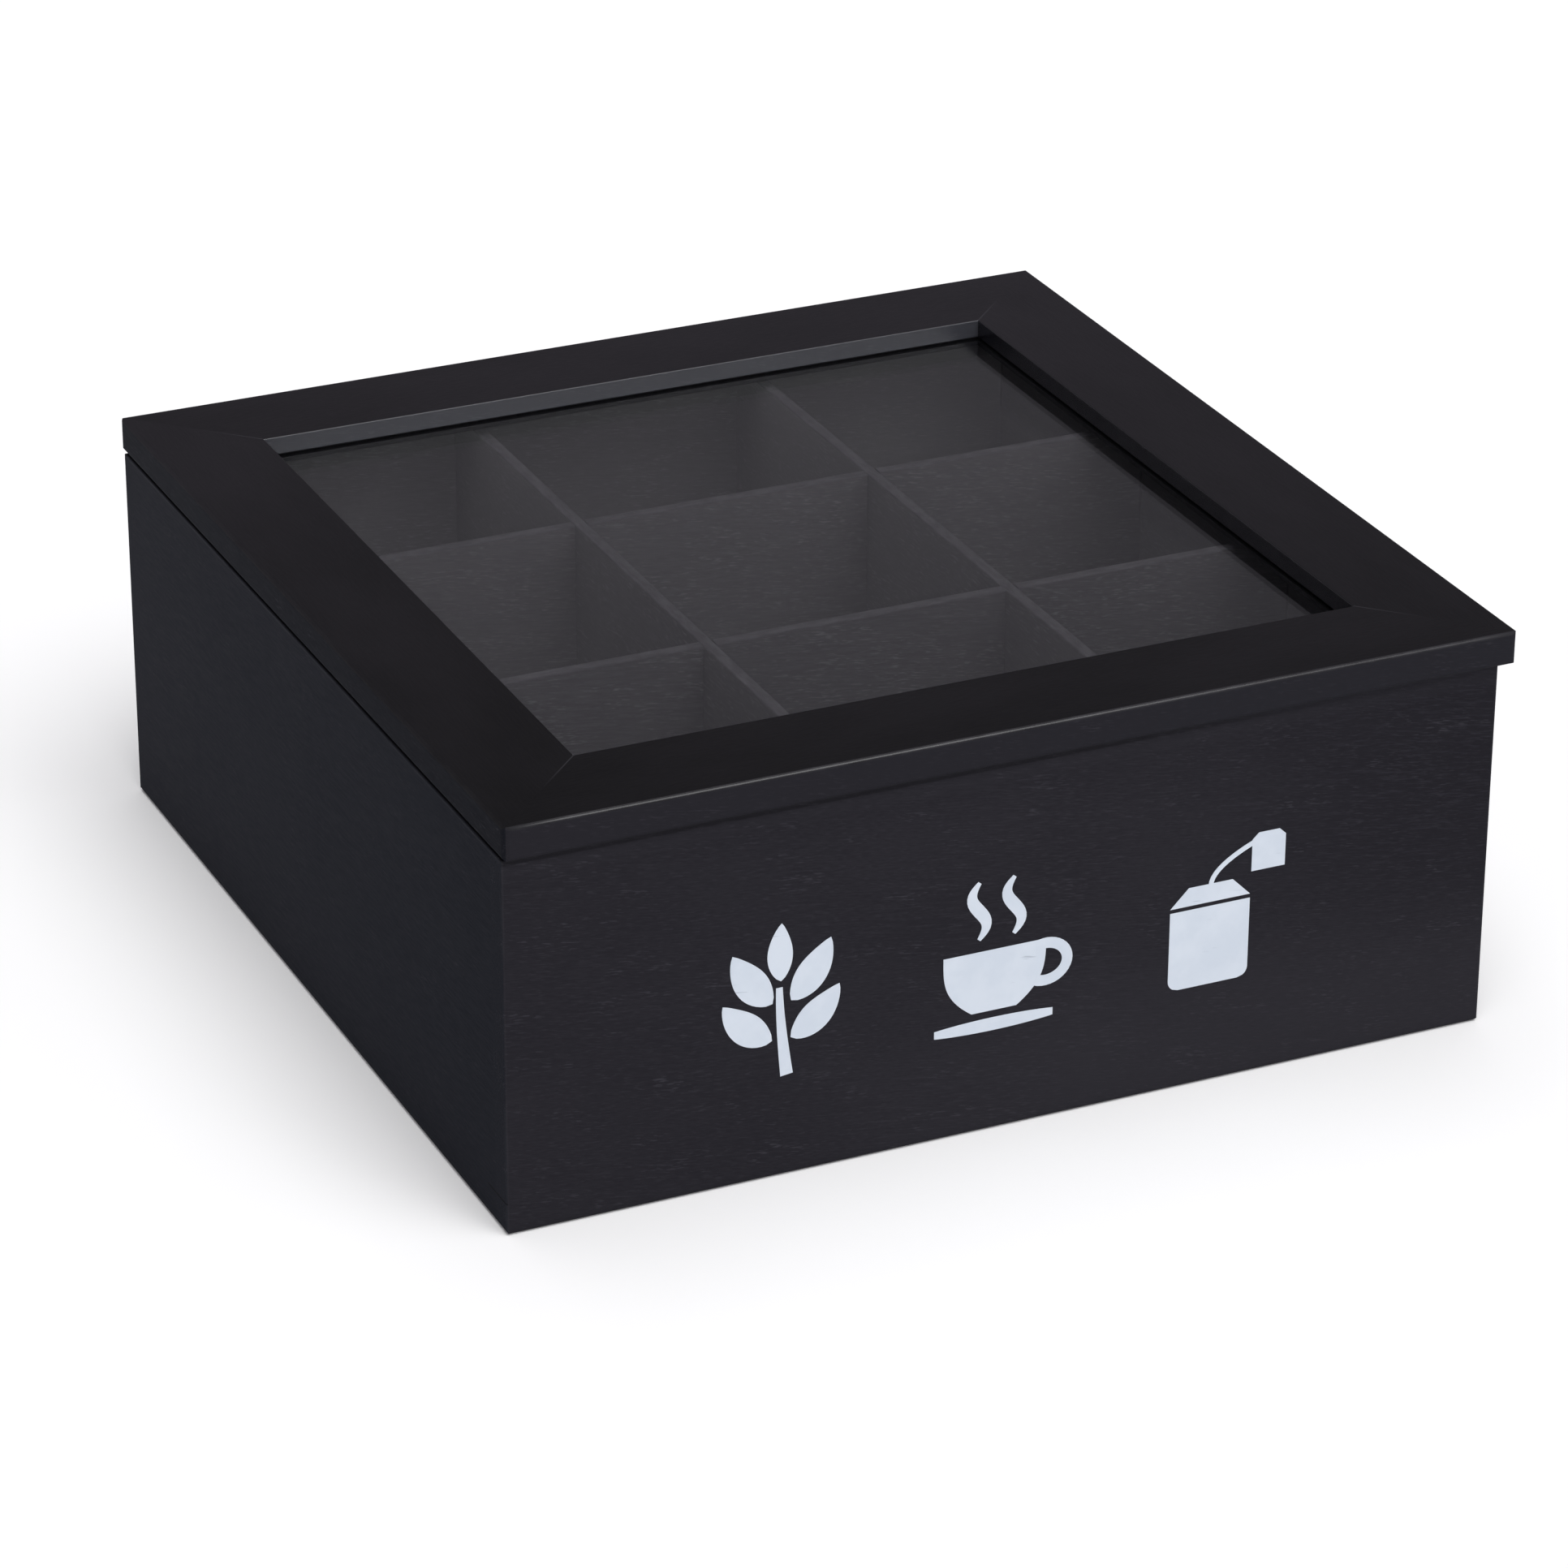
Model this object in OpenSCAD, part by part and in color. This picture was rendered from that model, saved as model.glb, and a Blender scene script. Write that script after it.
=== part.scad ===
// Tea bag organizer box: painted boards round nine compartments, under a hinged lid whose
// mitred frame holds a clear pane.
// The origin is the middle of the box's footprint, on the surface that the box stands on.
// +X points to the right, +Y to the hinged side and +Z up.

/* [Box] */
// Width of the box, left to right
body_w = 240; // [200:1:320]
// Depth of the box, front to back
body_d = 240; // [200:1:320]
// Height of the box without its lid
body_h = 90; // [60:1:140]
// Thickness of the front, back and side panels
wall_t = 8; // [6.5:0.5:12]
// Depth of the rabbets in the front and back panels that seat the side panels
rabbet_depth = 2; // [1:0.5:4]
// Radius of the upright outer edges
upright_r = 0.6; // [0.3:0.1:2]
// Radius of the lower outer edges
foot_r = 1.5; // [0.5:0.1:3]
// Radius of the rim's outer edges
rim_r = 0.4; // [0.2:0.1:1]

/* [Bottom] */
// Thickness of the bottom panel
bottom_t = 4; // [3:0.5:8]
// Height of the bottom panel's underside above the table
bottom_lift = 4; // [2:0.5:12]
// Depth of the grooves that hold the bottom panel in the walls
groove_depth = 3; // [2:0.5:4]

/* [Compartments] */
// Thickness of the four dividers
divider_t = 3; // [2:0.5:5]
// How far the dividers' tops lie below the rim
divider_drop = 1.5; // [0.5:0.5:20]
// How far the grid of dividers stands to the right of the box's middle
grid_shift = 1.7; // [-3:0.1:3]
// How far each cross divider stands nearer the middle than for three equal rows
row_ease = 0.8; // [0:0.1:3]
// Depth of the housings in the walls that hold the dividers' ends
housing_depth = 1.5; // [1:0.5:3]
// Radius along the dividers' top edges
divider_r = 0.4; // [0.2:0.1:0.9]

/* [Lid] */
// Thickness of the lid's frame
lid_t = 8; // [6.5:0.5:14]
// Face width of the frame's rails and stiles
rail_w = 27; // [22:0.5:45]
// How far the lid stands out over the front panel
overhang_front = 2.2; // [0:0.1:6]
// How far the lid stands out over the back panel
overhang_rear = 2.2; // [1.8:0.1:4]
// How far the lid stands out over the left panel
overhang_left = 0; // [0:0.1:6]
// How far the lid stands out over the right panel
overhang_right = 3.4; // [0:0.1:6]
// Gap between the rim and the closed lid
lid_gap = 0.5; // [0.3:0.1:1]
// Radius of the lid's upper outer edges
lid_top_r = 1; // [0.3:0.1:3]
// Radius of the lid's lower outer edges
lid_low_r = 1; // [0.2:0.1:1.5]
// Radius of the lid's outer corners, seen from above
lid_corner_r = 2; // [0.5:0.1:6]
// Radius of the frame's upper inner edge, round the window
sight_r = 0.3; // [0.1:0.1:1]

/* [Window] */
// Thickness of the pane
pane_t = 2; // [1.5:0.1:3]
// How far the pane runs under the frame's lip
pane_lap = 6; // [4:0.5:10]
// Thickness of the bedding tape between the lip and the pane
tape_t = 0.6; // [0.5:0.1:1.5]
// How far the tape is set back from the lip's edge
tape_setback = 0.6; // [0.2:0.1:2]
// Thickness of the strips that keep the pane in
strip_t = 1.1; // [0.5:0.1:1.5]
// Width of those strips
strip_w = 12; // [8:0.5:16]

/* [Mitre nails] */
// Length of each leg of a V-shaped nail
nail_leg = 5; // [3:0.5:6]
// Thickness of the nail's steel
nail_t = 0.6; // [0.4:0.1:1]
// Height of a nail
nail_h = 5; // [3:0.5:6]
// How deep the nails are sunk below the frame's underside
nail_sink = 0.3; // [0.1:0.1:1]
// Distance of the outer nail's point from the lid's edges
nail_inset = 3.4; // [3:0.2:5]
// Step from the outer nail to the inner one, along each edge
nail_step = 6; // [5.5:0.5:8]

/* [Hinges] */
// Length of each hinge
hinge_l = 25; // [18:1:40]
// Distance of each hinge's middle from the box's side
hinge_inset = 48; // [30:1:60]
// Wood left between a leaf's seat and the inner face of the back panel
leaf_cover = 1.15; // [0.8:0.05:2.5]
// Thickness of a leaf
leaf_t = 0.8; // [0.6:0.1:1.2]
// Outer radius of the knuckles
knuckle_r = 1.5; // [1.3:0.1:1.8]
// Gap between neighbouring knuckles
knuckle_gap = 0.3; // [0.2:0.05:0.6]
// Radius of the pin
pin_r = 0.75; // [0.6:0.05:0.9]
// How far the pin's axis lies behind the back panel
pin_setback = 0.25; // [0.1:0.05:0.6]
// Distance between a leaf's two screws
screw_pitch = 15; // [9:0.5:24]
// Radius of a screw's shank
screw_r = 0.8; // [0.6:0.05:1]
// Radius of a screw's head
screw_head_r = 1.5; // [1.3:0.05:1.8]
// Length of the screws in the back panel
body_screw_l = 12; // [8:0.5:16]
// Length of the screws in the lid
lid_screw_l = 6; // [5:0.5:6.5]

/* [Fits] */
// Play of a board's edge in its groove or housing
board_fit = 0.1; // [0.05:0.05:0.3]
// Play on each side of a divider in the other divider's slot
lap_fit = 0.15; // [0.05:0.05:0.3]
// Play round the pane's edge
pane_fit = 0.5; // [0.2:0.1:1]
// Play of the hinge leaves in their seats
leaf_fit = 0.1; // [0.05:0.05:0.3]
// Radial play of the pin in the knuckles
pin_fit = 0.05; // [0.02:0.01:0.1]
// Play round the screws
screw_fit = 0.03; // [0.02:0.01:0.1]
// Clearance round the knuckles in the boards
barrel_fit = 0.3; // [0.2:0.05:0.5]

/* [Hidden] */
$fn = 48;
// How far a cut runs on past the face that it opens
past = 1;

inner_w = body_w - 2 * wall_t;
inner_d = body_d - 2 * wall_t;
side_l = body_d - 2 * (wall_t - rabbet_depth);

// From the grid's middle to a long divider's middle, and to a cross divider's
column_x = ((inner_w - 2 * divider_t) / 3 + divider_t) / 2;
row_y = ((inner_d - 2 * divider_t) / 3 + divider_t) / 2 - row_ease;
floor_z = bottom_lift + bottom_t;
divider_top = body_h - divider_drop;
divider_h = divider_top - floor_z;
lap_z = floor_z + divider_h / 2;

lid_w = body_w + overhang_left + overhang_right;
lid_d = body_d + overhang_front + overhang_rear;
lid_x = (overhang_right - overhang_left) / 2;
lid_y = (overhang_rear - overhang_front) / 2;
lid_z = body_h + lid_gap;
window_w = lid_w - 2 * rail_w;
window_d = lid_d - 2 * rail_w;

// Undersides of the pane, the tape and the lip above the frame's underside
pane_z = strip_t;
tape_z = pane_z + pane_t;
lip_z = tape_z + tape_t;

axis_y = body_d / 2 + pin_setback;
axis_z = body_h + lid_gap / 2;
hinge_x = body_w / 2 - hinge_inset;
knuckle_l = (hinge_l - 2 * knuckle_gap) / 3;
// Width of a leaf, from the pin's axis to its edge
leaf_w = pin_setback + wall_t - leaf_cover - leaf_fit;
barrel_r = knuckle_r + barrel_fit;
// The leaf's flat stops short of the other leaf's knuckles
flat_edge = knuckle_r + knuckle_gap;
screw_y = -(leaf_w + flat_edge) / 2;
// How far a hinge's cuts run from the axis to the rear, out of the lid's edge
cut_rear = overhang_rear + past;
cross_w = screw_r / 2;

board_black = "#28272b";
lid_black = "#242328";
divider_grey = "#343336";
strip_black = "#1b1b1d";
tape_black = "#0c0c0d";
steel_grey = "#b9bcc0";
pane_clear = [0.8, 0.86, 0.88, 0.35];

// What rounding a square corner at the origin takes off, for a corner that opens to +X and +Y
module corner_waste(r) {
    difference() {
        translate([-past, -past]) square(r + past);
        translate([r, r]) circle(r);
    }
}

// A rectangle from the origin to [w, h], with its corner radii given anticlockwise from the origin
module soft_rectangle(w, h, radii) {
    difference() {
        square([w, h]);
        for (i = [0:3])
            if (radii[i] > 0)
                translate([i == 1 || i == 2 ? w : 0, i > 1 ? h : 0])
                    rotate(90 * i) corner_waste(radii[i]);
    }
}

// The closed outline that all four walls are cut from: upright, lower and upper edges eased
module box_block() {
    edges = [foot_r, foot_r, rim_r, rim_r];
    intersection() {
        translate([-body_w / 2, -body_d / 2])
            linear_extrude(body_h)
                soft_rectangle(body_w, body_d, [upright_r, upright_r, upright_r, upright_r]);
        rotate([90, 0, 0])
            translate([-body_w / 2, 0, -body_d / 2])
                linear_extrude(body_d) soft_rectangle(body_w, body_h, edges);
        rotate([90, 0, 90])
            translate([-body_d / 2, 0, -body_w / 2])
                linear_extrude(body_w) soft_rectangle(body_d, body_h, edges);
    }
}

// The bottom panel, or with play the room that its grooves leave it
module bottom_board(play) {
    w = inner_w + 2 * (groove_depth - board_fit + play);
    d = inner_d + 2 * (groove_depth - board_fit + play);
    translate([-w / 2, -d / 2, bottom_lift]) cube([w, d, bottom_t + play]);
}

// The room that the dividers' ends need in the walls, open at the rim
module divider_housings() {
    slot = divider_t + 2 * board_fit;
    tall = body_h + past - floor_z;
    for (side = [-1, 1]) {
        translate([grid_shift + side * column_x - slot / 2, -inner_d / 2 - housing_depth, floor_z])
            cube([slot, inner_d + 2 * housing_depth, tall]);
        translate([-inner_w / 2 - housing_depth, side * row_y - slot / 2, floor_z])
            cube([inner_w + 2 * housing_depth, slot, tall]);
    }
}

// A front or back panel, drawn at the front: full width, rabbeted at both ends for the sides
module end_board() {
    difference() {
        intersection() {
            box_block();
            translate([-body_w / 2, -body_d / 2, 0]) cube([body_w, wall_t, body_h]);
        }
        for (side = [-1, 1])
            translate([side * body_w / 2 - wall_t, -side_l / 2, -past])
                cube([2 * wall_t, wall_t, body_h + 2 * past]);
        bottom_board(board_fit);
        divider_housings();
    }
}

// A side panel, drawn on the left, standing in the rabbets of the front and back panels
module side_board() {
    difference() {
        intersection() {
            box_block();
            translate([-body_w / 2, -side_l / 2, 0]) cube([wall_t, side_l, body_h]);
        }
        bottom_board(board_fit);
        divider_housings();
    }
}

// A divider of a given length along X, with its top edges eased
module divider_board(length) {
    rotate([90, 0, 90])
        translate([-divider_t / 2, floor_z, -length / 2])
            linear_extrude(length)
                soft_rectangle(divider_t, divider_h, [0, 0, divider_r, divider_r]);
}

// A long divider, slotted from below to ride over the cross dividers
module long_divider(side) {
    slot = divider_t + 2 * lap_fit;
    translate([grid_shift + side * column_x, 0, 0])
        difference() {
            rotate([0, 0, 90]) divider_board(inner_d + 2 * (housing_depth - board_fit));
            for (row = [-1, 1])
                translate([-divider_t, row * row_y - slot / 2, floor_z - past])
                    cube([2 * divider_t, slot, lap_z - floor_z + past]);
        }
}

// A cross divider, slotted from above to take the long dividers
module cross_divider(side) {
    slot = divider_t + 2 * lap_fit;
    translate([0, side * row_y, 0])
        difference() {
            divider_board(inner_w + 2 * (housing_depth - board_fit));
            for (column = [-1, 1])
                translate([grid_shift + column * column_x - slot / 2, -divider_t, lap_z])
                    cube([slot, 2 * divider_t, divider_h]);
        }
}

// Puts a bar on one side of a w by d frame at the lid's middle: its outer edge lies along X, its
// inner side faces +Y, and turn is 0 for the front, 90 right, 180 rear and -90 left
module on_side(turn, w, d) {
    out = abs(turn) == 90 ? w : d;
    translate([lid_x, lid_y, lid_z])
        rotate([0, 0, turn])
            translate([0, -out / 2, 0]) children();
}

// A flat bar mitred at both ends
module mitred_bar(length, width, height) {
    linear_extrude(height)
        polygon([
            [-length / 2, 0],
            [length / 2, 0],
            [length / 2 - width, width],
            [-length / 2 + width, width]
        ]);
}

// Section of a rail: outer edge at X = 0, window edge at X = rail_w, underside at Y = 0.
// The inner side is rebated in two steps, for the pane with its tape and for the strip under it.
module rail_section() {
    difference() {
        soft_rectangle(rail_w, lid_t, [lid_low_r, 0, sight_r, lid_top_r]);
        translate([rail_w - pane_lap - pane_fit, -past]) square([pane_lap + pane_fit + past, lip_z + past]);
        translate([rail_w - strip_w - board_fit, -past]) square([strip_w + board_fit + past, strip_t + past]);
    }
}

// One V-shaped nail with its point at the origin and its legs along +X and +Y
module v_nail(play) {
    linear_extrude(nail_h + play) {
        translate([-play, -play]) square([nail_leg + 2 * play, nail_t + 2 * play]);
        translate([-play, -play]) square([nail_t + 2 * play, nail_leg + 2 * play]);
    }
}

// The nails of all four mitres, or with play the slots that they leave in the frame
module all_nails(play) {
    for (turn = [0:90:270], place = [0, 1]) {
        inset = nail_inset + place * nail_step;
        across = turn == 90 || turn == 180 ? 1 : -1;
        along = turn > 90 ? 1 : -1;
        translate([
            lid_x + across * (lid_w / 2 - inset),
            lid_y + along * (lid_d / 2 - inset),
            lid_z + nail_sink
        ])
            rotate([0, 0, turn]) v_nail(play);
    }
}

// A rail of the lid with its own length, mitred ends, rounded outer corners and nail slots
module rail(turn) {
    length = abs(turn) == 90 ? lid_d : lid_w;
    corners = [lid_corner_r, lid_corner_r, lid_corner_r, lid_corner_r];
    difference() {
        intersection() {
            on_side(turn, lid_w, lid_d)
                rotate([90, 0, 90])
                    translate([0, 0, -length / 2]) linear_extrude(length) rail_section();
            on_side(turn, lid_w, lid_d) mitred_bar(length, rail_w, lid_t);
            translate([lid_x - lid_w / 2, lid_y - lid_d / 2, lid_z])
                linear_extrude(lid_t) soft_rectangle(lid_w, lid_d, corners);
        }
        all_nails(screw_fit);
        translate([0, 0, -past]) all_nails(screw_fit);
    }
}

// A strip that closes the rebate under the pane, flush with the frame's underside
module pane_strip(turn) {
    w = window_w + 2 * strip_w;
    d = window_d + 2 * strip_w;
    on_side(turn, w, d) mitred_bar(abs(turn) == 90 ? d : w, strip_w, strip_t);
}

// Moves a shape that is drawn round the pin's axis to the left hinge (-1) or the right one (1)
module at_hinge(side) {
    translate([side * hinge_x, axis_y, axis_z]) children();
}

// A leaf of the closed hinge, below the axis, with the knuckles that spans lists (0, 1 or 2)
module hinge_leaf(spans) {
    top = -lid_gap / 2;
    difference() {
        union() {
            translate([-hinge_l / 2, -leaf_w, top - leaf_t]) cube([hinge_l, leaf_w - flat_edge, leaf_t]);
            for (i = spans)
                translate([-hinge_l / 2 + i * (knuckle_l + knuckle_gap), 0, 0]) {
                    translate([0, -leaf_w, top - leaf_t]) cube([knuckle_l, leaf_w, leaf_t]);
                    rotate([0, 90, 0]) cylinder(r = knuckle_r, h = knuckle_l);
                }
        }
        rotate([0, 90, 0]) cylinder(r = pin_r + pin_fit, h = hinge_l + 2 * past, center = true);
        for (side = [-1, 1])
            translate([side * screw_pitch / 2, screw_y, top - leaf_t])
                cylinder(r1 = screw_r + screw_fit, r2 = screw_head_r + screw_fit, h = leaf_t);
    }
}

// The room that a leaf, its barrel and its screws need in the board below the axis
module leaf_seat(screw_l) {
    seat_l = hinge_l + 2 * leaf_fit;
    top = -lid_gap / 2;
    translate([-seat_l / 2, -leaf_w - leaf_fit, top - leaf_t])
        cube([seat_l, leaf_w + leaf_fit + cut_rear, leaf_t + past]);
    rotate([0, 90, 0]) cylinder(r = barrel_r, h = seat_l, center = true);
    for (side = [-1, 1])
        translate([side * screw_pitch / 2, screw_y, top - screw_l - screw_fit])
            cylinder(r = screw_r + screw_fit, h = screw_l);
}

// The same room in the lid, above the axis, with the barrel's notch open to the rear
module lid_leaf_seat() {
    seat_l = hinge_l + 2 * leaf_fit;
    mirror([0, 0, 1]) leaf_seat(lid_screw_l);
    translate([-seat_l / 2, 0, -past]) cube([seat_l, cut_rear, barrel_r + past]);
}

module hinge_pin() {
    rotate([0, 90, 0]) cylinder(r = pin_r, h = hinge_l, center = true);
}

// A countersunk cross-head screw pointing down, with the top of its head at the origin
module wood_screw(length) {
    difference() {
        rotate_extrude()
            polygon([
                [0, 0],
                [screw_head_r, 0],
                [screw_r, -leaf_t],
                [screw_r, -length + 2 * screw_r],
                [0, -length]
            ]);
        for (turn = [0, 90])
            rotate([0, 0, turn]) cube([2 * screw_r, cross_w, leaf_t], center = true);
    }
}

// Both hinges' screws on the leaves below the axis
module screw_set(length) {
    for (hinge = [-1, 1], side = [-1, 1])
        at_hinge(hinge)
            translate([side * screw_pitch / 2, screw_y, -lid_gap / 2]) wood_screw(length);
}

module front_panel() { color(board_black) end_board(); }
module back_panel() {
    color(board_black)
        difference() {
            mirror([0, 1, 0]) end_board();
            for (side = [-1, 1])
                at_hinge(side) leaf_seat(body_screw_l);
        }
}
module left_panel() { color(board_black) side_board(); }
module right_panel() { color(board_black) rotate([0, 0, 180]) side_board(); }
module bottom_panel() { color(board_black) bottom_board(0); }
module left_divider() { color(divider_grey) long_divider(-1); }
module right_divider() { color(divider_grey) long_divider(1); }
module front_cross_divider() { color(divider_grey) cross_divider(-1); }
module rear_cross_divider() { color(divider_grey) cross_divider(1); }

module lid_front_rail() { color(lid_black) rail(0); }
module lid_rear_rail() {
    color(lid_black)
        difference() {
            rail(180);
            for (side = [-1, 1])
                at_hinge(side) lid_leaf_seat();
        }
}
module lid_left_stile() { color(lid_black) rail(-90); }
module lid_right_stile() { color(lid_black) rail(90); }

module window_pane() {
    w = window_w + 2 * pane_lap;
    d = window_d + 2 * pane_lap;
    color(pane_clear)
        translate([lid_x - w / 2, lid_y - d / 2, lid_z + pane_z]) cube([w, d, pane_t]);
}
module pane_tape() {
    w = window_w + 2 * (pane_lap - pane_fit);
    d = window_d + 2 * (pane_lap - pane_fit);
    hole_w = window_w + 2 * tape_setback;
    hole_d = window_d + 2 * tape_setback;
    color(tape_black)
        translate([lid_x, lid_y, lid_z + tape_z + tape_t / 2])
            difference() {
                cube([w, d, tape_t], center = true);
                cube([hole_w, hole_d, tape_t + past], center = true);
            }
}
module front_pane_strip() { color(strip_black) pane_strip(0); }
module rear_pane_strip() { color(strip_black) pane_strip(180); }
module left_pane_strip() { color(strip_black) pane_strip(-90); }
module right_pane_strip() { color(strip_black) pane_strip(90); }
module mitre_nails() { color(steel_grey) all_nails(0); }

module left_hinge_box_leaf() { color(steel_grey) at_hinge(-1) hinge_leaf([0, 2]); }
module left_hinge_lid_leaf() { color(steel_grey) at_hinge(-1) mirror([0, 0, 1]) hinge_leaf([1]); }
module left_hinge_pin() { color(steel_grey) at_hinge(-1) hinge_pin(); }
module right_hinge_box_leaf() { color(steel_grey) at_hinge(1) hinge_leaf([0, 2]); }
module right_hinge_lid_leaf() { color(steel_grey) at_hinge(1) mirror([0, 0, 1]) hinge_leaf([1]); }
module right_hinge_pin() { color(steel_grey) at_hinge(1) hinge_pin(); }
module box_hinge_screws() { color(steel_grey) screw_set(body_screw_l); }
module lid_hinge_screws() {
    color(steel_grey)
        translate([0, 0, axis_z]) mirror([0, 0, 1]) translate([0, 0, -axis_z]) screw_set(lid_screw_l);
}

front_panel();
back_panel();
left_panel();
right_panel();
bottom_panel();
left_divider();
right_divider();
front_cross_divider();
rear_cross_divider();
lid_front_rail();
lid_rear_rail();
lid_left_stile();
lid_right_stile();
window_pane();
pane_tape();
front_pane_strip();
rear_pane_strip();
left_pane_strip();
right_pane_strip();
mitre_nails();
left_hinge_box_leaf();
left_hinge_lid_leaf();
left_hinge_pin();
right_hinge_box_leaf();
right_hinge_lid_leaf();
right_hinge_pin();
box_hinge_screws();
lid_hinge_screws();
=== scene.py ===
# Tea bag organizer box: finishes, printed motifs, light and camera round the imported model
import math

import bmesh
import bpy
from mathutils import Matrix, Vector


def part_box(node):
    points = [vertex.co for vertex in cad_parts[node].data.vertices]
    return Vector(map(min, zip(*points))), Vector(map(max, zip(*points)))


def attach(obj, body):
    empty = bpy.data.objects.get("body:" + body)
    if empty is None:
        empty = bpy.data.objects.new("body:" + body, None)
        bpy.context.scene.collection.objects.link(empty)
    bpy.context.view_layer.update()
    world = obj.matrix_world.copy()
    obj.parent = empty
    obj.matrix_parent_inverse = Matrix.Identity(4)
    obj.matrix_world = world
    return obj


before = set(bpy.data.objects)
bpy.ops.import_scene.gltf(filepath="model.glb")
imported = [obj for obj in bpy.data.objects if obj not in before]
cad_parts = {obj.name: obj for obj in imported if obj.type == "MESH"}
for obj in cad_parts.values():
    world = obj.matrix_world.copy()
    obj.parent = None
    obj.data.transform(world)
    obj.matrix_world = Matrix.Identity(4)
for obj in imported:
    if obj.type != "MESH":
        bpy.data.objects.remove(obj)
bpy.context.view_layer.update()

MM = 0.001  # one millimetre in Blender's metres

# Camera: what it looks at, from how far, and how it is turned, tilted and rolled
AIM = Vector((4.3, 9.6, 25.9)) * MM
DISTANCE = 1440 * MM
AZIMUTH = math.radians(24.65)
TILT = math.radians(25.9)
ROLL = math.radians(0.245)
LENS = 139.0  # focal length in millimetres
SENSOR_WIDTH = 36.0  # in millimetres

# Room: its colour in front and behind, and the pale band near the floor. The blend and the fade say
# where they pass into each other, as the y and the z of a way with a length of 1
ROOM_FRONT = "#959398"
ROOM_BACK = "#66646a"
ROOM_BLEND = (-0.5, 0.5)
HORIZON = "#e6e6e6"
HORIZON_FADE = (0.02, 0.2)

# Lamps: the soft key light high up in front, a weaker one high up behind, and a faint low one in front
# that the window's inner edge mirrors. Level is in watts per square metre. Azimuth, which is counted
# from the front towards the right, height, and width, which is how much of the sky a lamp fills, are
# in degrees
LAMPS = {
    "key_light": {"level": 2.25, "azimuth": 3, "height": 65, "width": 50},
    "back_light": {"level": 0.6, "azimuth": 180, "height": 75, "width": 40},
    "low_light": {"level": 0.14, "azimuth": 24.6, "height": 25.9, "width": 16},
}

# Floor: its side in metres, its colour, and what the camera and the reflections see on top of the lit
# colour, so that open floor is white
FLOOR_SIDE = 16.0
FLOOR_COLOUR = "#f4f4f4"
FLOOR_GLOW = 0.07

# Front panel's face, the ink on it and the places of the printed motifs
FRONT_Y = -120 * MM
INK_THICKNESS = 0.08 * MM
INK_BITE = 0.03 * MM  # how far the ink reaches into the panel
STROKE_LIFT = 0.02  # how far a stroke lies over the one that it crosses, in millimetres
WELD = 0.01 * MM  # points of a motif that are this near each other become one
MOTIF_Z = 43.5 * MM
MOTIF_X = {"left": -54.3 * MM, "middle": -2.3 * MM, "right": 52.4 * MM}

# Pieces that share an outline, and sizes that their finishes follow
WALLS = ["front_panel", "back_panel", "left_panel", "right_panel"]
RAILS = ["lid_front_rail", "lid_rear_rail", "lid_left_stile", "lid_right_stile"]
INSIDE = 112 * MM  # from the middle to the walls' inner faces
DIVIDER_TOP = 88.5 * MM
RAIL_WIDTH = 27 * MM
GROOVE_Z = 7.8 * MM  # height of the hairline crack over the bottom panel's groove
GRAIN_SLANT = math.radians(9)
GRAIN_DRIFT = 55 * MM  # length of the waves in the grain
FOAM_CELL = 0.8 * MM

# Settings of the two nodes that most masks and colours are made with. Their sockets go by number,
# because several share a name. A MapRange reads 0 as it goes from 1 to 2, and gives 3 to 4, which are
# 0 and 1 unless they are set. A Mix lays the colour 7 over the colour 6 by the mask 0
EASED = {"interpolation_type": "SMOOTHSTEP"}
COLOURS = {"data_type": "RGBA", "out": 2}


def union_box(names):
    """The lowest and highest corner of some CAD pieces together."""
    boxes = [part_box(name) for name in names]
    low = [min(box[0][i] for box in boxes) for i in range(3)]
    high = [max(box[1][i] for box in boxes) for i in range(3)]
    return low, high


def srgb(code):
    """A hex colour as the linear RGBA that a socket takes."""
    parts = [int(code[i:i + 2], 16) / 255 for i in (1, 3, 5)]
    return [p / 12.92 if p <= 0.04045 else ((p + 0.055) / 1.055) ** 2.4 for p in parts] + [1.0]


def node(tree, kind, inputs=None, out=0, **settings):
    """Adds a node, sets its properties, sets or links its inputs, and gives one of its outputs."""
    made = tree.nodes.new("ShaderNode" + kind)
    for name, value in settings.items():
        setattr(made, name, value)
    for name, value in (inputs or {}).items():
        if isinstance(value, bpy.types.NodeSocket):
            tree.links.new(value, made.inputs[name])
        else:
            made.inputs[name].default_value = srgb(value) if isinstance(value, str) else value
    return made.outputs[out] if made.outputs else None


def new_material(name):
    """An empty node material and its tree."""
    material = bpy.data.materials.new(name)
    material.use_nodes = True
    material.node_tree.nodes.clear()
    return material, material.node_tree


def all_of(tree, *masks):
    """A mask that holds only where all the given ones do."""
    held = masks[0]
    for mask in masks[1:]:
        held = node(tree, "Math", {0: held, 1: mask}, operation="MULTIPLY")
    return held


def laid_over(tree, colour, *layers):
    """A colour with others laid over it in turn, each by its mask."""
    for mask, layer in layers:
        colour = node(tree, "Mix", {0: mask, 6: colour, 7: layer}, **COLOURS)
    return colour


def along_axes(tree, source):
    """The x, y and z of the place on the part (Object), of the way that the surface faces (Normal) or,
    in the world, of the way to a point of the room (Generated)."""
    parts = node(tree, "SeparateXYZ", {0: node(tree, "TexCoord", out=source)}).node.outputs
    return parts[0], parts[1], parts[2]


def off_middle(tree, value, middle):
    """How far a coordinate is from a middle, in metres."""
    away = node(tree, "Math", {0: value, 1: middle}, operation="SUBTRACT")
    return node(tree, "Math", {0: away}, operation="ABSOLUTE")


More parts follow.
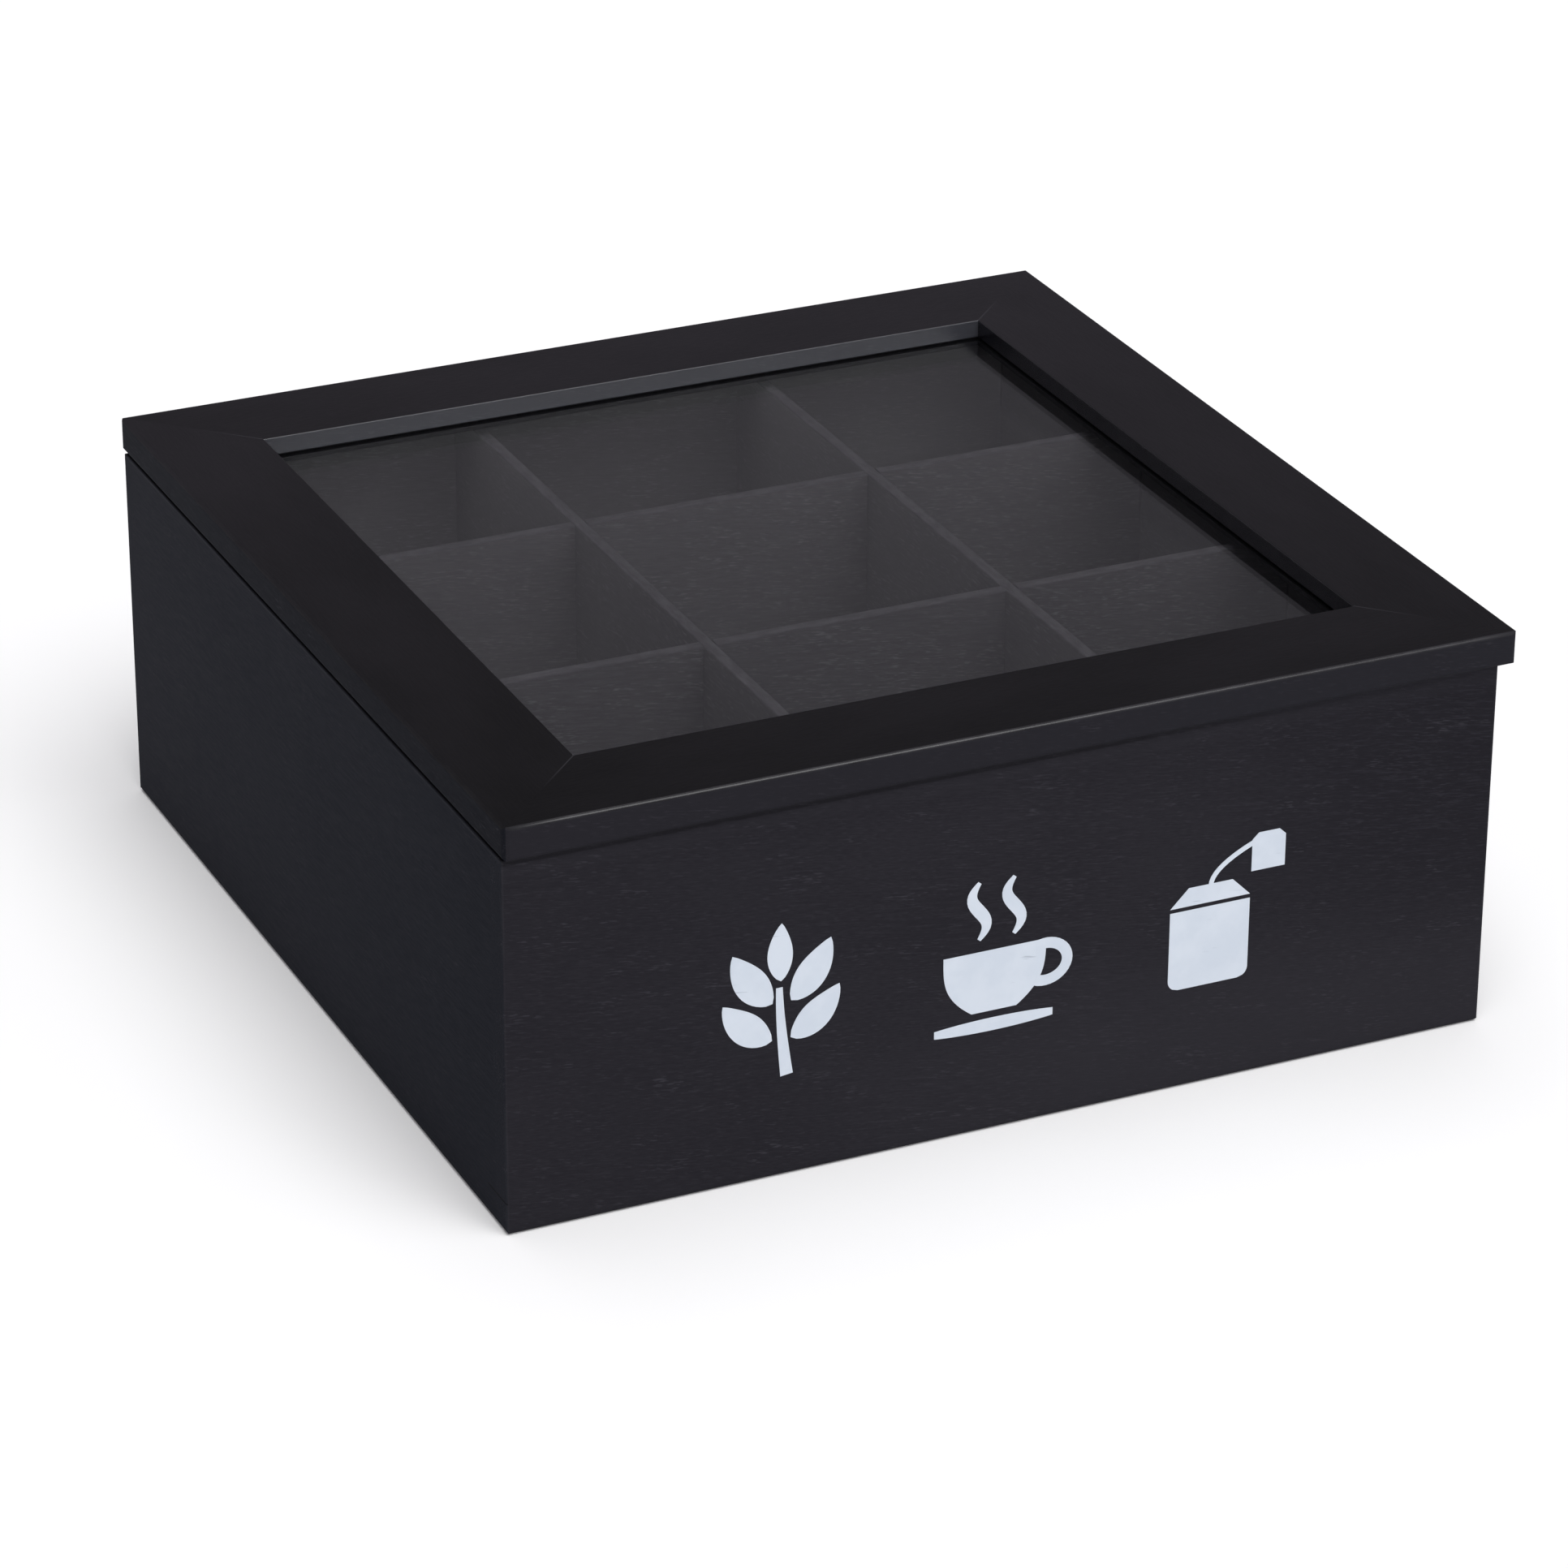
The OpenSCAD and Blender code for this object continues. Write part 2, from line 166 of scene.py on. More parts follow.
def grain_pattern(tree, grain, length, width, detail, waviness=0.0):
    """Noise whose spots are length mm long with the grain and width mm across it. The grain wanders
    by waviness mm, and in boards that lie along x it runs down to the right."""
    place = node(tree, "TexCoord", out="Object")
    if waviness:
        waves = {"Vector": place, "Scale": 1 / GRAIN_DRIFT, "Detail": 1.0}
        drift = node(tree, "TexNoise", waves, out="Color")
        reach = [waviness * MM] * 3
        place = node(tree, "VectorMath", {0: drift, 1: reach, 2: place}, operation="MULTIPLY_ADD")
    size = {"x": (length, width, width), "y": (width, length, width)}[grain]
    turn = {"x": (0.0, GRAIN_SLANT, 0.0), "y": (0.0, 0.0, 0.0)}[grain]
    place = node(
        tree, "Mapping",
        {"Vector": place, "Rotation": turn, "Scale": [s * MM for s in size]},
        vector_type="TEXTURE",
    )
    return node(tree, "TexNoise", {"Vector": place, "Scale": 1.0, "Detail": detail, "Roughness": 0.6})


def open_pores(tree, grain, cover, strength):
    """Open pores: flecks 1 to 3 mm long and 0.3 mm thick, which is about one pixel of the render, in
    drifting patches. Cover is the patches' share of the face."""
    flecks = grain_pattern(tree, grain, length=2.6, width=0.36, detail=1.0, waviness=1.5)
    flecks = node(tree, "MapRange", {0: flecks, 1: 0.54, 2: 0.74}, **EASED)
    patches = grain_pattern(tree, grain, length=18.0, width=6.0, detail=3.0)
    start = 0.64 - 0.3 * cover
    patches = node(
        tree, "MapRange",
        {0: patches, 1: start, 2: start + 0.2, 3: 0.25 * strength, 4: strength},
        **EASED,
    )
    return all_of(tree, flecks, patches)


def outer_arrises(tree, box, reach, strength):
    """A mask on the rounded arrises of a box, where a point is within reach mm of two of its sides,
    broken up where the paint has kept its cover. Near a single side the total stays at 1 or less."""
    near = []
    for value, low, high in zip(along_axes(tree, "Object"), *box):
        half = (high - low) / 2
        off = off_middle(tree, value, (low + high) / 2)
        near.append(node(tree, "MapRange", {0: off, 1: half - reach * MM, 2: half}))
    total = node(tree, "Math", {0: near[0], 1: near[1]}, operation="ADD")
    total = node(tree, "Math", {0: total, 1: near[2]}, operation="ADD")
    arris = node(tree, "MapRange", {0: total, 1: 1.12, 2: 1.34}, **EASED)
    kept = grain_pattern(tree, "x", length=9.0, width=9.0, detail=3.0)
    worn = node(tree, "MapRange", {0: kept, 1: 0.35, 2: 0.6, 3: 0.45 * strength, 4: strength}, **EASED)
    return all_of(tree, arris, worn)


def painted_wood(tree, grain, colour, roughness, depth, coat):
    """The shader that painted and stained wood share: matt, with hardly any shine of its own, with
    brush marks depth mm deep along the grain and a roughness that follows them, and burnished where
    coat is."""
    marks = grain_pattern(tree, grain, length=6.0, width=0.5, detail=3.0, waviness=2.0)
    relief = node(tree, "Bump", {"Height": marks, "Strength": 0.5, "Distance": depth * MM})
    uneven = node(tree, "MapRange", {0: marks, 1: 0.3, 2: 0.7, 3: -0.05, 4: 0.07}, **EASED)
    shader = node(
        tree, "BsdfPrincipled",
        {
            "Base Color": colour,
            "Roughness": node(tree, "Math", {0: uneven, 1: roughness}, operation="ADD"),
            "Specular IOR Level": 0.05,
            "IOR": 1.5,
            "Coat Weight": coat,
            "Coat Roughness": 0.2,
            "Normal": relief,
        },
    )
    node(tree, "OutputMaterial", {"Surface": shader})


def stain_with_painted_light(tree, grain):
    """Dark stain on planed wood: the early wood shows as fine pale streaks. Painted light makes it lighter
    towards the back, on the boards that run there, and in the right rear corner, and a painted shadow
    makes it dark under the rim at the right."""
    # Boards along y are given lighter colours as painted light
    front, rear = {"x": ("#353437", "#4d4c4e"), "y": ("#403f42", "#5a595b")}[grain]
    x, y, z = along_axes(tree, "Object")
    # Painted light: lighter towards the back and in the right rear corner
    thin = node(tree, "MapRange", {0: y, 1: -INSIDE / 4, 2: INSIDE})
    painted_light_right_rear = all_of(
        tree,
        node(tree, "MapRange", {0: x, 1: INSIDE / 3, 2: INSIDE}, **EASED),
        node(tree, "MapRange", {0: y, 1: INSIDE / 2, 2: INSIDE}),
    )
    # Painted shadow under the rim at the right
    painted_shade_right_rim = all_of(
        tree,
        node(tree, "MapRange", {0: x, 1: INSIDE - 0.6 * MM, 2: INSIDE - 0.2 * MM}),
        node(tree, "MapRange", {0: z, 1: 62 * MM, 2: 70 * MM, 4: 0.6}, **EASED),
    )
    streaks = grain_pattern(tree, grain, length=6.0, width=0.5, detail=2.0, waviness=2.0)
    streaks = node(tree, "MapRange", {0: streaks, 1: 0.35, 2: 0.65, 4: 0.05}, **EASED)
    return laid_over(
        tree, front,
        (thin, rear),
        (painted_light_right_rear, "#676668"),
        (streaks, "#8c8b8d"),
        (open_pores(tree, grain, cover=0.9, strength=0.15), "#9c9b9e"),
        (painted_shade_right_rim, "#161519"),
    )


def end_wall_paint(tree, grain, x, z, top, foot, tone):
    """The paint on the front and the back: thickest at the left and the top right, where it is
    scratched along the grain, and thin towards the right along the foot. Painted light makes it lighter
    under the rim, against the lid's overhang shadow, and a painted shadow lies as a fine dark line just
    under the rim, and runs out to the right."""
    thick = all_of(
        tree,
        node(tree, "MapRange", {0: x, 1: 30 * MM, 2: 100 * MM}, **EASED),
        node(tree, "MapRange", {0: z, 1: 20 * MM, 2: 60 * MM, 4: 0.6}, **EASED),
    )
    rightward = node(tree, "MapRange", {0: x, 1: -70 * MM, 2: 30 * MM, 4: 0.5}, **EASED)
    leftward = node(tree, "MapRange", {0: x, 1: -40 * MM, 2: -100 * MM, 4: 0.2}, **EASED)
    # Painted light: the face is lighter just under the rim, against the shadow of the lid's overhang
    painted_light_under_rim = node(tree, "MapRange", {0: z, 1: top - 6.5 * MM, 2: top - 1.5 * MM, 4: 0.2}, **EASED)
    # Painted shadow: a fine dark line just under the rim, weaker towards the right
    painted_shadow_under_rim = all_of(
        tree,
        node(tree, "MapRange", {0: z, 1: top - 1.5 * MM, 2: top - 1.1 * MM}, **EASED),
        node(tree, "MapRange", {0: x, 1: 90 * MM, 2: 20 * MM, 4: 0.45}, **EASED),
    )
    scratches = grain_pattern(tree, grain, length=5.0, width=0.4, detail=2.0, waviness=1.5)
    scratches = node(tree, "MapRange", {0: scratches, 1: 0.5, 2: 0.7, 4: 0.6}, **EASED)
    return laid_over(
        tree, "#242328",
        (node(tree, "MapRange", {0: tone, 1: 0.66, 2: 1.3}, **EASED), "#2a292e"),
        (thick, "#1e1d22"),
        (all_of(tree, thick, scratches), "#34333a"),
        (leftward, "#1f1e23"),
        (all_of(tree, foot, rightward), "#2f2e33"),
        (painted_light_under_rim, "#3a393f"),
        (painted_shadow_under_rim, "#151417"),
    )


def side_wall_paint_with_painted_shade(tree, y, front, back, foot, tone):
    """The paint on the left and right sides, painted darker and bluer than on the front as painted shade
    and a painted blue reflection, painted lighter towards the back as a painted reflection, and thinner
    along the foot."""
    # Painted reflection: the sides get lighter towards the back
    depth = node(tree, "MapRange", {0: y, 1: front, 2: back})
    uneven = node(tree, "MapRange", {0: tone, 1: 0.75, 2: 1.2, 3: -0.15, 4: 0.15})
    thin = node(tree, "Math", {0: depth, 1: uneven}, operation="ADD")
    return laid_over(tree, "#1c1e25", (thin, "#27282e"), (all_of(tree, foot, 0.13), "#2a2a30"))


def groove_crack(tree, x, y, z, low):
    """A mask on the hairline crack in the left side's paint, near the front, over the bottom panel's
    groove."""
    return all_of(
        tree,
        node(tree, "MapRange", {0: off_middle(tree, z, GROOVE_Z), 1: 0.3 * MM, 2: 0.1 * MM}, **EASED),
        node(tree, "MapRange", {0: x, 1: low[0] + 0.4 * MM, 2: low[0] + 0.2 * MM}, **EASED),
        node(tree, "MapRange", {0: y, 1: low[1] + 12 * MM, 2: low[1] + 9 * MM, 4: 0.8}, **EASED),
    )


def black_painted_wall(name, grain, pores):
    """Thin black paint brushed on bare board. The eye gets a near-black matt face on which the open
    grain shows as faint flecks, in patches, with arrises a little paler. The faces inside the box are
    stained instead, and show more grain."""
    material, tree = new_material(name)
    low, high = union_box(WALLS)
    x, y, z = along_axes(tree, "Object")
    off_x = off_middle(tree, x, 0.0)
    off_y = off_middle(tree, y, 0.0)

    clouds = grain_pattern(tree, grain, length=90.0, width=40.0, detail=3.0)
    fibres = grain_pattern(tree, grain, length=2.4, width=0.36, detail=2.0, waviness=1.5)
    tone = node(tree, "Math", {0: clouds, 1: fibres}, operation="ADD")
    foot = node(tree, "MapRange", {0: z, 1: 40 * MM, 2: 8 * MM}, **EASED)
    side_on = node(tree, "MapRange", {0: off_x, 1: high[0] - 0.3 * MM, 2: high[0] - 0.1 * MM}, **EASED)
    inner = INSIDE + 0.6 * MM
    shut_in = all_of(
        tree,
        node(tree, "MapRange", {0: off_x, 1: inner, 2: inner - 0.2 * MM}, **EASED),
        node(tree, "MapRange", {0: off_y, 1: inner, 2: inner - 0.2 * MM}, **EASED),
    )
    # The sides take their own colours, with painted shade and a painted reflection
    colour = laid_over(
        tree, end_wall_paint(tree, grain, x, z, high[2], foot, tone),
        (side_on, side_wall_paint_with_painted_shade(tree, y, low[1], high[1], foot, tone)),
        (open_pores(tree, grain, cover=0.5, strength=pores), "#3a393f"),
        (groove_crack(tree, x, y, z, low), "#0b0b0d"),
        (outer_arrises(tree, (low, high), reach=0.7, strength=0.12), "#3c3c41"),
        (shut_in, stain_with_painted_light(tree, grain)),
    )
    burnish = outer_arrises(tree, (low, high), reach=0.7, strength=0.05)
    painted_wood(tree, grain, colour, roughness=0.85, depth=0.02, coat=burnish)
    return material


def black_stained_divider(name, grain):
    """Dark stain on thin planed board. The eye gets a dark grey face with fine pale streaks, and a
    top edge that has taken the stain in blotches."""
    material, tree = new_material(name)
    height = along_axes(tree, "Object")[2]
    top = node(tree, "MapRange", {0: height, 1: DIVIDER_TOP - 0.5 * MM, 2: DIVIDER_TOP - 0.1 * MM}, **EASED)
    blotches = grain_pattern(tree, grain, length=5.0, width=1.5, detail=3.0)
    blotches = node(tree, "MapRange", {0: blotches, 1: 0.35, 2: 0.65}, **EASED)
    edge = laid_over(tree, "#252427", (blotches, "#333235"))
    colour = laid_over(tree, stain_with_painted_light(tree, grain), (top, edge))
    painted_wood(tree, grain, colour, roughness=0.8, depth=0.02, coat=0.0)
    return material


def mitre_line(tree, off, half):
    """A mask on the joint of each mitre, which fades away from the window."""
    skew = node(tree, "Math", {0: off[0], 1: off[1]}, operation="SUBTRACT")
    off_joint = off_middle(tree, skew, half[0] - half[1])
    window = half[0] - RAIL_WIDTH
    return all_of(
        tree,
        node(tree, "MapRange", {0: off_joint, 1: 0.35 * MM, 2: 0.1 * MM}, **EASED),
        node(tree, "MapRange", {0: off[0], 1: window + 14 * MM, 2: window + 1 * MM, 4: 0.35}, **EASED),
    )


def burnished_front(tree, facing, x, off_x, left, middle, half):
    """A mask on the lid's front arris, away from its ends and a little weaker at the left."""
    return all_of(
        tree,
        node(tree, "MapRange", {0: facing[1], 1: -0.12, 2: -0.3}, **EASED),
        node(tree, "MapRange", {0: facing[2], 1: 0.5, 2: 0.62}, **EASED),
        node(tree, "MapRange", {0: off_x, 1: half - 1 * MM, 2: half - 14 * MM}, **EASED),
        node(tree, "MapRange", {0: x, 1: left, 2: middle, 3: 0.65}),
    )


def black_painted_rail(name, grain, side, sight_painted_shading, sight_fleck_painted_shading, wear):
    """Two coats of satin black, rubbed down between them. The eye gets a smooth, deep black top, which a
    painted reflection makes greyer towards the back and the right, faint flecks on the outer edges,
    arrises worn a little grey, a front arris and window edge that are burnished and catch the light, and
    the joint of each mitre as a faint line. Side colours the outer edges, which a painted reflection
    makes lighter towards the back, the sight colour and its flecks colour the window edge with painted
    light on the rails and painted shade on the stiles, and wear is how far the arrises are worn."""
    material, tree = new_material(name)
    low, high = union_box(RAILS)
    middle = [(low[i] + high[i]) / 2 for i in range(2)]
    half = [(high[i] - low[i]) / 2 for i in range(2)]
    across = {"x": 1, "y": 0}[grain]
    x, y, z = along_axes(tree, "Object")
    off = [off_middle(tree, x, middle[0]), off_middle(tree, y, middle[1])]
    facing = along_axes(tree, "Normal")

    # The top and the outer edges get lighter towards the back and the right as a painted reflection; the
    # clouds are the paint's own uneven tone
    clouds = grain_pattern(tree, grain, length=60.0, width=25.0, detail=3.0)
    thin = node(tree, "MapRange", {0: clouds, 1: 0.3, 2: 0.7, 3: -0.12, 4: 0.12})
    for value, i, share in ((x, 0, 0.32), (y, 1, 0.68)):
        rise = node(tree, "MapRange", {0: value, 1: low[i], 2: high[i], 4: share})
        thin = node(tree, "Math", {0: thin, 1: rise}, operation="ADD")
    top = laid_over(tree, "#141315", (thin, "#262428"))
    sides = laid_over(tree, side, (thin, "#25262b"))
    upward = node(tree, "MapRange", {0: facing[2], 1: 0.15, 2: 0.5}, **EASED)

    # The window edge: its colours are painted light on the rails and painted shade on the stiles
    edge = half[across] - RAIL_WIDTH
    sight_face = node(tree, "MapRange", {0: off[across], 1: edge + 0.15 * MM, 2: edge + 0.03 * MM}, **EASED)
    sight_flecks = open_pores(tree, grain, cover=0.7, strength=1.0)
    above = node(tree, "MapRange", {0: z, 1: low[2] + 3 * MM, 2: low[2] + 5 * MM}, **EASED)
    arris = all_of(tree, outer_arrises(tree, (low, high), reach=1.0, strength=wear), above)
    colour = laid_over(
        tree, sides,
        (open_pores(tree, grain, cover=0.45, strength=0.7), "#36353b"),
        (upward, top),
        (sight_face, laid_over(tree, sight_painted_shading, (sight_flecks, sight_fleck_painted_shading))),
        (mitre_line(tree, off, half), "#47464b"),
        (arris, "#4c4c51"),
    )
    burnish = burnished_front(tree, facing, x, off[0], low[0], middle[0], half[0])
    coat = node(tree, "Math", {0: burnish, 1: sight_face}, operation="MAXIMUM")
    dull = node(tree, "MapRange", {0: upward, 3: 0.85, 4: 0.62})
    painted_wood(tree, grain, colour, roughness=dull, depth=0.012, coat=coat)
    return material


def black_painted_strip(name, grain):
    """Thin black paint on a planed strip. The eye gets a dull black edge under the pane."""
    material, tree = new_material(name)
    pores = open_pores(tree, grain, cover=0.5, strength=1.0)
    colour = laid_over(tree, "#19191c", (pores, "#2c2c30"))
    painted_wood(tree, grain, colour, roughness=0.75, depth=0.02, coat=0.0)
    return material


def clear_float_glass():
    """Polished clear float glass. The eye gets the dim room's reflection as a grey veil over the
    compartments, with faint smears of wiping. Lamps shine through it."""
    material, tree = new_material("clear_float_glass")
    smears = grain_pattern(tree, "x", length=60.0, width=18.0, detail=3.0)
    glass = node(
        tree, "BsdfPrincipled",
        {
            "Base Color": "#f8f8f8",
            "Roughness": node(tree, "MapRange", {0: smears, 1: 0.5, 2: 0.8, 4: 0.035}, **EASED),
            "IOR": 1.5,
            "Transmission Weight": 1.0,
        },
    )
    open_way = node(tree, "BsdfTransparent", {"Color": "#f8f8f8"})
    shadow = node(tree, "LightPath", out="Is Shadow Ray")
    node(tree, "OutputMaterial", {"Surface": node(tree, "MixShader", {0: shadow, 1: glass, 2: open_way})})
    return material


def black_foam_tape():
    """Black closed-cell foam tape. The eye gets a dull, very dark line with a fine pitted face, whose
    cells are drawn coarser than real ones so that they show."""
    material, tree = new_material("black_foam_tape")
    place = node(tree, "TexCoord", out="Object")
    cells = node(tree, "TexVoronoi", {"Vector": place, "Scale": 1 / FOAM_CELL}, out="Distance")
    shader = node(
        tree, "BsdfPrincipled",
        {
            "Base Color": laid_over(tree, "#28282b", (cells, "#1b1b1e")),
            "Roughness": 0.9,
            "Specular IOR Level": 0.1,
            "Normal": node(tree, "Bump", {"Height": cells, "Strength": 0.5, "Distance": 0.1 * MM}),
        },
    )
    node(tree, "OutputMaterial", {"Surface": shader})
    return material


def plated_steel(name, light, dark, roughness):
    """Zinc or nickel plate on stamped or cold-headed steel, tumbled. The eye gets a soft grey metal
    with cloudy dull spots and fine scratches along its length."""
    material, tree = new_material(name)
    spots = grain_pattern(tree, "x", length=3.0, width=3.0, detail=4.0)
    scratches = grain_pattern(tree, "x", length=8.0, width=0.25, detail=2.0)
    clouds = node(tree, "MapRange", {0: spots, 1: 0.35, 2: 0.65}, **EASED)
    shader = node(
        tree, "BsdfPrincipled",
        {
            "Base Color": laid_over(tree, light, (clouds, dark)),
            "Metallic": 1.0,
            "Roughness": node(
                tree, "MapRange", {0: spots, 1: 0.3, 2: 0.7, 3: roughness, 4: roughness + 0.15}
            ),
            "Normal": node(tree, "Bump", {"Height": scratches, "Strength": 0.25, "Distance": 0.03 * MM}),
        },
    )
    node(tree, "OutputMaterial", {"Surface": shader})
    return material


def screen_printed_ink():
    """Pale blue-white screen-printed ink. The eye gets a flat, opaque, slightly chalky print whose
    cover is a little thinner over the pores of the wood."""
    material, tree = new_material("screen_printed_ink")
    pores = grain_pattern(tree, "x", length=9.0, width=0.9, detail=2.0)
    clouds = grain_pattern(tree, "x", length=12.0, width=12.0, detail=3.0)
    clouds = node(tree, "MapRange", {0: clouds, 1: 0.35, 2: 0.65}, **EASED)
    thin = node(tree, "MapRange", {0: pores, 1: 0.7, 2: 0.8}, **EASED)
    shader = node(
        tree, "BsdfPrincipled",
        {
            "Base Color": laid_over(tree, "#d6dee8", (clouds, "#cfd8e3"), (thin, "#b4bdc9")),
            "Roughness": 0.6,
            "Specular IOR Level": 0.3,
            "Normal": node(tree, "Bump", {"Height": pores, "Strength": 0.3, "Distance": 0.04 * MM}),
        },
    )
    node(tree, "OutputMaterial", {"Surface": shader})
    return material


def paint_pieces():
    """Gives every CAD piece its material."""
    side_walls = black_painted_wall("black_painted_side_wall", "y", pores=0.3)
    end_walls = black_painted_wall("black_painted_end_wall", "x", pores=0.8)
    # The rails' window edge is painted light, and the stiles' window edge is painted shade
    rails = black_painted_rail(
        "black_painted_lid_rail", "x", side="#252429", sight_painted_shading="#3f4046", sight_fleck_painted_shading="#47484e", wear=0.25
    )
    # The stiles' outer side is painted darker and bluer than the rails', as painted shade and a painted
    # reflection
    stiles = black_painted_rail(
        "black_painted_lid_stile", "y", side="#17181e", sight_painted_shading="#0f0e15", sight_fleck_painted_shading="#17151d", wear=0.05
    )
    long_dividers = black_stained_divider("black_stained_long_divider", "y")
    cross_dividers = black_stained_divider("black_stained_cross_divider", "x")
    long_strips = black_painted_strip("black_painted_side_strip", "y")
    end_strips = black_painted_strip("black_painted_end_strip", "x")
    screw_steel = plated_steel("zinc_plated_screw_steel", light="#c3c6ca", dark="#a4a8ad", roughness=0.28)
    hinge_steel = plated_steel("nickel_plated_hinge_steel", light="#b4b7bb", dark="#94989d", roughness=0.32)
    hinge_pieces = [
        f"{side}_hinge_{part}" for side in ("left", "right") for part in ("box_leaf", "lid_leaf", "pin")
    ]
    looks = [
        (end_walls, ["front_panel", "back_panel"]),
        (side_walls, ["left_panel", "right_panel"]),
        (long_dividers, ["left_divider", "right_divider"]),
        (cross_dividers, ["front_cross_divider", "rear_cross_divider", "bottom_panel"]),
        (rails, ["lid_front_rail", "lid_rear_rail"]),
        (stiles, ["lid_left_stile", "lid_right_stile"]),
        (clear_float_glass(), ["window_pane"]),
        (black_foam_tape(), ["pane_tape"]),
        (end_strips, ["front_pane_strip", "rear_pane_strip"]),
        (long_strips, ["left_pane_strip", "right_pane_strip"]),
        (screw_steel, ["mitre_nails", "box_hinge_screws", "lid_hinge_screws"]),
        (hinge_steel, hinge_pieces),
    ]
    for look, names in looks:
        for name in names:
            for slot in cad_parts[name].material_slots:
                slot.material = look


def band(bm, spine, half_widths, lift=0.0):
    """A flat strip in the front panel's plane along a spine of (x, z) points. Lift puts it over the
    strips that it crosses. All are in millimetres, from the motif's middle."""
    rows = []
    for i, (x, z) in enumerate(spine):
        before, after = spine[max(i - 1, 0)], spine[min(i + 1, len(spine) - 1)]
        way = Vector((after[0] - before[0], after[1] - before[1])).normalized()
        side = Vector((-way.y, way.x)) * half_widths[i]
        ends = [((x + s * side.x) * MM, -lift * MM, (z + s * side.y) * MM) for s in (1, -1)]
        rows.append([bm.verts.new(end) for end in ends])
    for (a, b), (d, c) in zip(rows, rows[1:]):
        bm.faces.new((a, b, c, d))


def swell(i, steps):
    """How thick a stroke with blunt ends is at step i, as a share of its middle."""
    return math.sin(math.pi * (0.1 + 0.8 * i / steps))


def arc(centre, radii, start, end, steps):
    """Points on part of an ellipse, with its angles in degrees."""
    turns = [math.radians(start + (end - start) * i / steps) for i in range(steps + 1)]
    return [(centre[0] + radii[0] * math.cos(t), centre[1] + radii[1] * math.sin(t)) for t in turns]


def leaf(bm, base, angle, bend, length, width):
    """A pointed leaf from its base, with its angle from upright there and how far it bends over its
    length."""
    steps = 18
    spine = [base]
    for i in range(steps):
        turn = angle + bend * i / steps
        x, z = spine[-1]
        spine.append((x + length / steps * math.sin(turn), z + length / steps * math.cos(turn)))
    band(bm, spine, [width / 2 * math.sin(math.pi * (i / steps) ** 0.85) ** 0.8 for i in range(steps + 1)])


def sprig(bm):
    """A bent stem with two pairs of leaves and a slender bud."""
    joints = 10
    off_stem = 2.2
    stem = [(-1.8 * math.sin(0.16 * i), -18.5 + 2.4 * i) for i in range(joints)]
    band(bm, stem, [1.5 - 0.08 * i for i in range(joints)])
    for x, z, angle, length, width in ((-1.3, -9.5, 62, 16.0, 7.4), (-1.2, -0.5, 46, 16.5, 7.6)):
        for side in (-1, 1):
            turn = side * math.radians(angle)
            leaf(bm, (x + side * off_stem, z), turn, -0.5 * turn, length, width)
    leaf(bm, (-1.4, 4.6), math.radians(-4), math.radians(10), length=14.0, width=6.0)


def cup(bm):
    """A plain cup with its handle, on a saucer, with two wisps of steam."""
    steps = 20
    middle, rim, depth, half_width = -2.0, 1.5, 15.0, 12.5
    bowl = [(middle, rim - depth * i / steps) for i in range(steps + 1)]
    narrowing = [math.cos(math.radians(64) * (i / steps) ** 1.7) for i in range(steps + 1)]
    band(bm, bowl, [half_width * part for part in narrowing])
    handle = arc((10.4, -4.2), (5.4, 4.6), start=116, end=-116, steps=24)
    band(bm, handle, [1.3] * len(handle), STROKE_LIFT)
    saucer = [(-16.5 + 29.0 * i / steps, -16.9) for i in range(steps + 1)]
    band(bm, saucer, [1.6 * swell(i, steps) ** 0.5 for i in range(steps + 1)])
    for x in (-6.0, 2.5):
        sway = [1.8 * math.sin(2 * math.pi * i / steps) for i in range(steps + 1)]
        wisp = [(x + sway[i], 4.5 + 14.0 * i / steps) for i in range(steps + 1)]
        band(bm, wisp, [1.5 * swell(i, steps) for i in range(steps + 1)])


def tea_bag(bm):
    """A plain pouch with a folded top, its string and a blank tag."""
    middle, foot, half_width, straight = -3.5, -18.5, 10.0, 17.0
    corner, corner_steps, straight_steps = 2.5, 6, 4
    rounding = [math.sqrt(1 - (1 - i / corner_steps) ** 2) for i in range(corner_steps + 1)]
    widths = [half_width - corner + corner * part for part in rounding]
    heights = [foot + corner * i / corner_steps for i in range(corner_steps + 1)]
    heights += [foot + corner + straight * i / straight_steps for i in range(1, straight_steps + 1)]
    band(bm, [(middle, z) for z in heights], widths + [half_width] * straight_steps)
    band(bm, [(middle, 2.0), (middle, 6.5)], [half_width, 5.5])
    turns = [math.pi * i / 16 for i in range(17)]
    string = [(middle + 13.5 * (1 - math.cos(t)) / 2, 6.0 + 9.8 * math.sin(t / 2)) for t in turns]
    band(bm, string, [0.6] * len(string), STROKE_LIFT)
    tag_x = 10.8
    band(bm, [(tag_x, 7.5), (tag_x, 15.3), (tag_x, 16.8)], [4.2, 4.2, 2.6])


